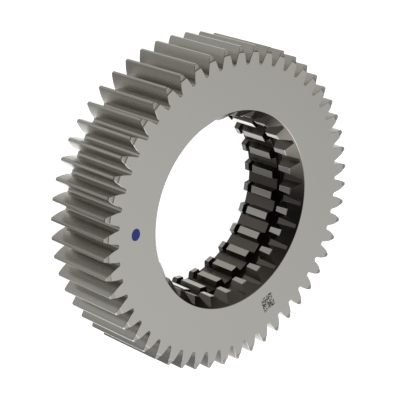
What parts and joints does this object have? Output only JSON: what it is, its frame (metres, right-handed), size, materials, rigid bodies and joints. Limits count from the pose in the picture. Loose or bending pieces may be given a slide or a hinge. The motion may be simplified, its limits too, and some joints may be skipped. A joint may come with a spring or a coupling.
{
  "type": "main drive gear",
  "caption": "Straight-toothed main drive gear of a truck gearbox: a wide steel ring with tall outer teeth, and an internal clutch row and spline row in its bore.",
  "frame": {"origin": "centre of the bore, in the plane of the rear face, which the gear lies on when it rests by itself", "axes": "+Z along the gear's axis, from the rear face to the marked front face; an outer tooth space lies on +X"},
  "size_m": [0.1736, 0.1736, 0.0423],
  "materials": {
    "ground_steel": "ground satin steel with lightly brushed tooth edges, oiled"
  },
  "bodies": {
    "root": {"drive_gear": "ground_steel"}
  },
  "joints": []
}
